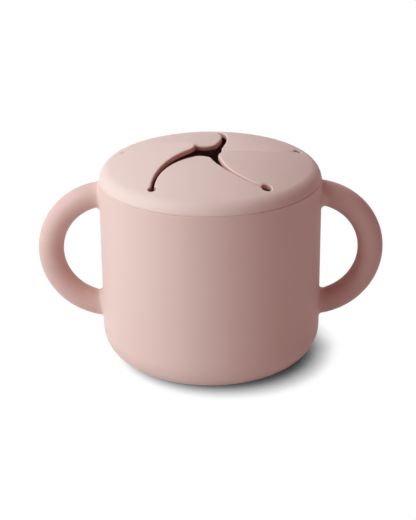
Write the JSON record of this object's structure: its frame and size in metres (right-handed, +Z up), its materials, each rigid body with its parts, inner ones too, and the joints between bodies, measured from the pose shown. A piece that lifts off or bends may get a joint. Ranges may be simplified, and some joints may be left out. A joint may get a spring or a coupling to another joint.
{
  "type": "toddler snack container",
  "caption": "Round toddler snack cup with a loop handle on each side and a soft push-in lid cut into swirled petals that a small hand reaches through.",
  "frame": {"origin": "centre of the underside, on the surface that the cup stands on", "axes": "+X through the right-hand handle, +Y to the back, +Z up through the lid"},
  "size_m": [0.14, 0.089, 0.0879],
  "materials": {
    "cup_plastic": "soft-touch matte, dusty pink",
    "lid_silicone": "matte silicone, dusty pink"
  },
  "bodies": {
    "cup_body": {"cup": "cup_plastic", "handle_left": "cup_plastic", "handle_right": "cup_plastic"},
    "lid": {"lid_rim": "lid_silicone"},
    "petal_front_body": {"petal_front": "lid_silicone"},
    "petal_right_body": {"petal_right": "lid_silicone"},
    "petal_back_right_body": {"petal_back_right": "lid_silicone"},
    "petal_back_left_body": {"petal_back_left": "lid_silicone"},
    "petal_left_body": {"petal_left": "lid_silicone"}
  },
  "joints": [
    {"name": "lid_lift", "type": "slide", "parent": "cup_body", "child": "lid", "axis": [0, 0, 1], "range_m": [0, 0.06]},
    {"name": "petal_front_bend", "type": "hinge", "parent": "lid", "child": "petal_front_body", "pos_m": [-0.00019, -0.0275, 0.08278], "axis": [-1, 0.007, 0], "range_deg": [-20, 60], "stiffness_Nm_per_rad": 0.02},
    {"name": "petal_right_bend", "type": "hinge", "parent": "lid", "child": "petal_right_body", "pos_m": [0.02609, -0.00868, 0.08278], "axis": [-0.3156, -0.9489, 0], "range_deg": [-20, 60], "stiffness_Nm_per_rad": 0.02},
    {"name": "petal_back_right_bend", "type": "hinge", "parent": "lid", "child": "petal_back_right_body", "pos_m": [0.01632, 0.02213, 0.08278], "axis": [0.8049, -0.5934, 0], "range_deg": [-20, 60], "stiffness_Nm_per_rad": 0.02},
    {"name": "petal_back_left_bend", "type": "hinge", "parent": "lid", "child": "petal_back_left_body", "pos_m": [-0.01601, 0.02236, 0.08278], "axis": [0.8131, 0.5821, 0], "range_deg": [-20, 60], "stiffness_Nm_per_rad": 0.02},
    {"name": "petal_left_bend", "type": "hinge", "parent": "lid", "child": "petal_left_body", "pos_m": [-0.02621, -0.00831, 0.08278], "axis": [-0.3024, 0.9532, 0], "range_deg": [-20, 60], "stiffness_Nm_per_rad": 0.02}
  ]
}
